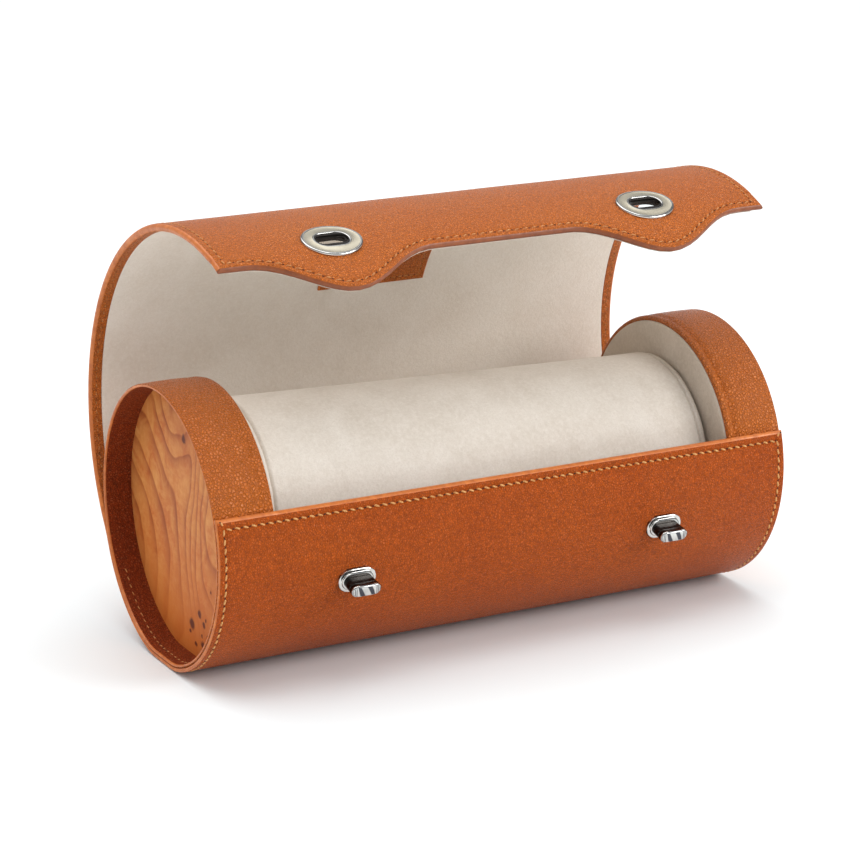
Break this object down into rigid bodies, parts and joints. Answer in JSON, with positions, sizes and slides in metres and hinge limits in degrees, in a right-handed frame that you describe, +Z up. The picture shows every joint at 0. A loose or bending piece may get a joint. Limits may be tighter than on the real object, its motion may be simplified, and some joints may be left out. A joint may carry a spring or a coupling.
{
  "type": "watch box",
  "caption": "Round leather watch box: a lying cylinder with a wrap-over flap, turn-locks on the front, burl wood ends and a lift-out suede pillow.",
  "frame": {"origin": "middle of the narrow flat under the body, on the surface it rests on", "axes": "+X along the cylinder to its right-hand end, +Y to the back where the flap's root is, -Y to the front lip and turn-locks, +Z up"},
  "size_m": [0.2212, 0.124, 0.1529],
  "materials": {
    "leather": "semi-matt tan leather, fine pebble grain",
    "cheek_leather": "semi-matt tan leather, strong pebble grain",
    "suede": "matt brushed suede",
    "pillow_suede": "matt brushed suede",
    "burl_wood": "satin lacquer over burl veneer",
    "board": "raw fibreboard and card",
    "foam": "open-cell foam",
    "nickel": "satin faces with polished edges"
  },
  "bodies": {
    "case": {"body_wrap": "leather", "body_board": "board", "body_lining": "suede", "front_lip_facing": "leather", "rear_hinge_strip": "leather", "left_cheek_core": "board", "right_cheek_core": "board", "left_cheek_band": "cheek_leather", "right_cheek_band": "cheek_leather", "left_wood_disc": "burl_wood", "right_wood_disc": "burl_wood", "left_cheek_suede": "suede", "right_cheek_suede": "suede", "left_lock_base": "nickel", "right_lock_base": "nickel", "left_lock_back_plate": "nickel", "right_lock_back_plate": "nickel"},
    "left_knob": {"left_lock_knob": "nickel"},
    "right_knob": {"right_lock_knob": "nickel"},
    "pillow": {"pillow_sleeve": "pillow_suede", "left_pillow_end": "pillow_suede", "right_pillow_end": "pillow_suede", "pillow_foam": "foam", "pillow_tube": "board"},
    "flap_1": {"flap_leather_1": "leather", "flap_stiffener_1": "board", "flap_lining_1": "suede"},
    "flap_2": {"flap_leather_2": "leather", "flap_stiffener_2": "board", "flap_lining_2": "suede"},
    "flap_3": {"flap_leather_3": "leather", "flap_stiffener_3": "board", "flap_lining_3": "suede"},
    "flap_4": {"flap_leather_4": "leather", "flap_stiffener_4": "board", "flap_lining_4": "suede", "label_patch": "leather"},
    "flap_5": {"flap_leather_5": "leather", "flap_stiffener_5": "board", "flap_lining_5": "suede"},
    "flap_6": {"flap_leather_6": "leather", "flap_stiffener_6": "board", "flap_lining_6": "suede"},
    "flap_7": {"flap_leather_7": "leather", "flap_stiffener_7": "board", "flap_lining_7": "suede"},
    "flap_8": {"flap_leather_8": "leather", "flap_stiffener_8": "board", "flap_lining_8": "suede", "left_slot_plate": "nickel", "right_slot_plate": "nickel", "left_slot_back_plate": "nickel", "right_slot_back_plate": "nickel"}
  },
  "joints": [
    {"name": "flap_swing", "type": "hinge", "parent": "case", "child": "flap_1", "pos_m": [0, 0.04516, 0.02715], "axis": [-1, 0, 0], "range_deg": [-21.85, 12]},
    {"name": "flap_bend_2", "type": "hinge", "parent": "flap_1", "child": "flap_2", "pos_m": [0, 0.05955, 0.04881], "axis": [-1, 0, 0], "range_deg": [-9.21, 5.06]},
    {"name": "flap_bend_3", "type": "hinge", "parent": "flap_2", "child": "flap_3", "pos_m": [0, 0.06549, 0.07412], "axis": [-1, 0, 0], "range_deg": [-9.21, 5.06]},
    {"name": "flap_bend_4", "type": "hinge", "parent": "flap_3", "child": "flap_4", "pos_m": [0, 0.06223, 0.09992], "axis": [-1, 0, 0], "range_deg": [-9.21, 5.06]},
    {"name": "flap_bend_5", "type": "hinge", "parent": "flap_4", "child": "flap_5", "pos_m": [0, 0.05019, 0.12296], "axis": [-1, 0, 0], "range_deg": [-9.21, 5.06]},
    {"name": "flap_front_curl", "type": "hinge", "parent": "flap_5", "child": "flap_6", "pos_m": [0, 0.03086, 0.14036], "axis": [-1, 0, 0], "range_deg": [-8.6, 5]},
    {"name": "flap_bend_7", "type": "hinge", "parent": "flap_6", "child": "flap_7", "pos_m": [0, 0.00669, 0.14993], "axis": [-1, 0, 0], "range_deg": [-8.61, 5.01]},
    {"name": "flap_bend_8", "type": "hinge", "parent": "flap_7", "child": "flap_8", "pos_m": [0, -0.0193, 0.15047], "axis": [-1, 0, 0], "range_deg": [-8.61, 5.01]},
    {"name": "left_knob_turn", "type": "hinge", "parent": "case", "child": "left_knob", "pos_m": [-0.0603, -0.04852, 0.03709], "axis": [0, -0.9703, -0.2419], "range_deg": [0, 90]},
    {"name": "right_knob_turn", "type": "hinge", "parent": "case", "child": "right_knob", "pos_m": [0.0603, -0.04852, 0.03709], "axis": [0, -0.9703, -0.2419], "range_deg": [0, 90]},
    {"name": "pillow_lift", "type": "slide", "parent": "case", "child": "pillow", "axis": [0, 0, 1], "range_m": [0, 0.056]}
  ],
  "couplings": [
    {"joint": "flap_bend_2", "follows": "flap_swing", "ratio": 0.42105},
    {"joint": "flap_bend_3", "follows": "flap_swing", "ratio": 0.42105},
    {"joint": "flap_bend_4", "follows": "flap_swing", "ratio": 0.42105},
    {"joint": "flap_bend_5", "follows": "flap_swing", "ratio": 0.42105},
    {"joint": "flap_bend_7", "follows": "flap_front_curl", "ratio": 1},
    {"joint": "flap_bend_8", "follows": "flap_front_curl", "ratio": 1}
  ]
}
